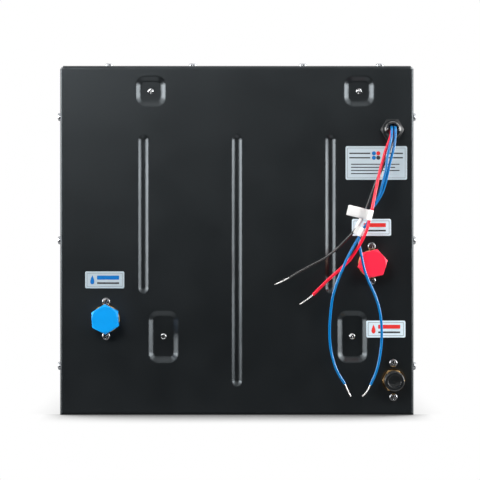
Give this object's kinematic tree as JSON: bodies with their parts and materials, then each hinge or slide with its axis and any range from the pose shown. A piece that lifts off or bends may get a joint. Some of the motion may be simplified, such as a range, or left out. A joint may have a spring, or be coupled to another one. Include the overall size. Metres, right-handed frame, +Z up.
{
  "type": "rv tankless water heater",
  "caption": "Box-shaped tankless water heater for a vehicle wall, with a pressed rear panel, capped water and gas ports, loose wires and a hinged front door.",
  "frame": {"origin": "middle of the bottom, under the centre of the box without its loose wires", "axes": "+X right as seen from behind the rear panel, +Y from the rear panel to the front door, +Z up"},
  "size_m": [0.362, 0.4632, 0.3186],
  "materials": {
    "black_coat": "satin powder coat",
    "zinc_sheet": "galvanised sheet",
    "screw_steel": "bright zinc plate",
    "steel": "plain sheet",
    "brass": "machined",
    "copper": "drawn copper tube and sheet",
    "blue_cap": "moulded",
    "red_cap": "moulded",
    "black_plastic": "moulded",
    "grey_plastic": "moulded",
    "white_plastic": "moulded",
    "green_coil": "potted coil",
    "rubber": "soft",
    "foil": "silver foil label",
    "red_pvc": "wire insulation",
    "black_pvc": "wire insulation",
    "blue_pvc": "wire insulation",
    "tinned": "tinned copper strand",
    "paper": "paper tag",
    "cast_alloy": "die cast",
    "white_ceramic": "glazed ceramic, density of plastic"
  },
  "bodies": {
    "casing": {"rear_panel": "black_coat", "casing_shell": "zinc_sheet", "top_panel": "zinc_sheet", "front_frame": "black_coat", "side_brackets": "zinc_sheet", "casing_screws": "screw_steel", "pocket_screws": "screw_steel", "port_screws": "screw_steel", "gland_body": "black_plastic", "gland_nut": "black_plastic", "gland_seal": "rubber", "gland_locknut": "black_plastic", "cold_fitting": "brass", "hot_fitting": "brass", "gas_fitting": "brass", "port_labels": "foil", "wiring_label": "foil", "red_wire": "red_pvc", "black_wire": "black_pvc", "left_blue_wire": "blue_pvc", "right_blue_wire": "blue_pvc", "bare_ends": "tinned", "wire_tags": "paper", "door_seal": "rubber", "hinge_rod": "screw_steel", "upper_bracket": "steel", "lower_bracket": "steel", "burner_box": "steel", "burner_bars": "steel", "gas_manifold": "cast_alloy", "combustion_chamber": "copper", "chamber_coil": "copper", "heat_fins": "copper", "exchanger_tubes": "copper", "hot_pipe": "copper", "exhaust_hood": "steel", "fan_housing": "cast_alloy", "fan_motor": "steel", "flow_sensor": "grey_plastic", "gas_pipes": "copper", "gas_valve": "cast_alloy", "valve_coil": "green_coil", "control_box": "grey_plastic", "control_lid": "grey_plastic", "relief_valve": "brass", "electrodes": "white_ceramic"},
    "door": {"door_panel": "black_coat", "exhaust_grille": "steel"},
    "left_latch": {"left_latch": "screw_steel"},
    "right_latch": {"right_latch": "screw_steel"},
    "cold_washer": {"cold_washer": "rubber"},
    "cold_cap": {"cold_cap": "blue_cap"},
    "hot_washer": {"hot_washer": "rubber"},
    "hot_cap": {"hot_cap": "red_cap"},
    "gas_cap": {"gas_cap": "black_plastic"},
    "fan_impeller": {"fan_impeller": "steel"},
    "flow_rotor": {"flow_rotor": "white_plastic"},
    "valve_plunger": {"valve_plunger": "screw_steel"},
    "power_rocker": {"power_rocker": "red_cap"},
    "relief_lever": {"relief_lever": "steel"}
  },
  "joints": [
    {"name": "door_hinge", "type": "hinge", "parent": "casing", "child": "door", "pos_m": [0, 0.2095, 0.012], "axis": [-1, 0, 0], "range_deg": [0, 85]},
    {"name": "left_latch_turn", "type": "hinge", "parent": "door", "child": "left_latch", "pos_m": [-0.12, 0.216, 0.28], "axis": [0, -1, 0], "range_deg": [0, 90]},
    {"name": "right_latch_turn", "type": "hinge", "parent": "door", "child": "right_latch", "pos_m": [0.12, 0.216, 0.28], "axis": [0, 1, 0], "range_deg": [0, 90]},
    {"name": "cold_cap_lift", "type": "slide", "parent": "casing", "child": "cold_washer", "axis": [0, -1, 0], "range_m": [0, 0.0091]},
    {"name": "cold_cap_turn", "type": "hinge", "parent": "cold_washer", "child": "cold_cap", "pos_m": [-0.1183, -0.2125, 0.087], "axis": [0, -1, 0], "range_deg": [0, 1800]},
    {"name": "hot_cap_lift", "type": "slide", "parent": "casing", "child": "hot_washer", "axis": [0, -1, 0], "range_m": [0, 0.0091]},
    {"name": "hot_cap_turn", "type": "hinge", "parent": "hot_washer", "child": "hot_cap", "pos_m": [0.122, -0.2125, 0.137], "axis": [0, -1, 0], "range_deg": [0, 1800]},
    {"name": "gas_cap_pull", "type": "slide", "parent": "casing", "child": "gas_cap", "axis": [0, -1, 0], "range_m": [0, 0.022]},
    {"name": "fan_spin", "type": "hinge", "parent": "casing", "child": "fan_impeller", "pos_m": [0.017, -0.0725, 0.042], "axis": [0, 1, 0], "continuous": true},
    {"name": "flow_spin", "type": "hinge", "parent": "casing", "child": "flow_rotor", "pos_m": [-0.1183, -0.1425, 0.087], "axis": [0, 1, 0], "continuous": true},
    {"name": "valve_slide", "type": "slide", "parent": "casing", "child": "valve_plunger", "axis": [-1, 0, 0], "range_m": [0, 0.003], "stiffness_N_per_m": 400},
    {"name": "rocker_tilt", "type": "hinge", "parent": "casing", "child": "power_rocker", "pos_m": [-0.13, 0.0045, 0.25], "axis": [1, 0, 0], "range_deg": [-10, 10]},
    {"name": "relief_lift", "type": "hinge", "parent": "casing", "child": "relief_lever", "pos_m": [-0.1183, 0.069, 0.118], "axis": [-1, 0, 0], "range_deg": [0, 90], "stiffness_Nm_per_rad": 0.05}
  ],
  "couplings": [
    {"joint": "cold_cap_lift", "follows": "cold_cap_turn", "m_per_rad": 0.00028871},
    {"joint": "hot_cap_lift", "follows": "hot_cap_turn", "m_per_rad": 0.00028871}
  ]
}
